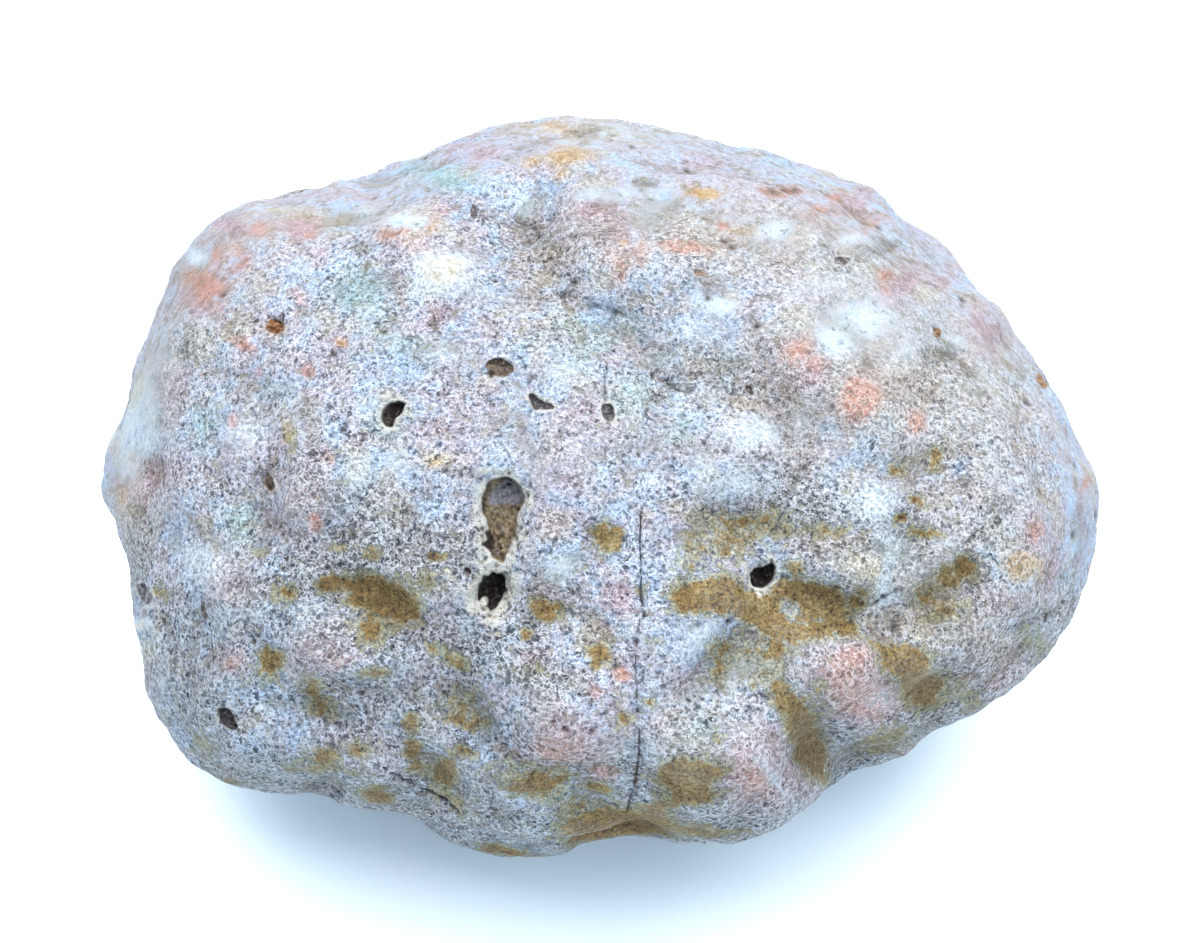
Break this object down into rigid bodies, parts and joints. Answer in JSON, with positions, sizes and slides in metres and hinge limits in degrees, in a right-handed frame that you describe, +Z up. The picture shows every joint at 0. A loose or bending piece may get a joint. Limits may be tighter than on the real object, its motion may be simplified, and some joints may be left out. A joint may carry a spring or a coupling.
{
  "type": "unopened geode",
  "caption": "Knobbly rounded nodule of quartz rind with open pits, shallow clay-lined hollows and a small flat spot that it rests on.",
  "frame": {"origin": "on the ground plane, under the middle of the stone's bounding box", "axes": "+Z up from the flat spot, +X along the stone's length, and -Y towards the side that its broad pitted face leans to"},
  "size_m": [0.1032, 0.0892, 0.063],
  "materials": {
    "rind": "matt sugary quartz rind, pale lavender grey with salmon, cream and white patches and olive-brown clay in its hollows"
  },
  "bodies": {
    "root": {"geode": "rind"}
  },
  "joints": []
}
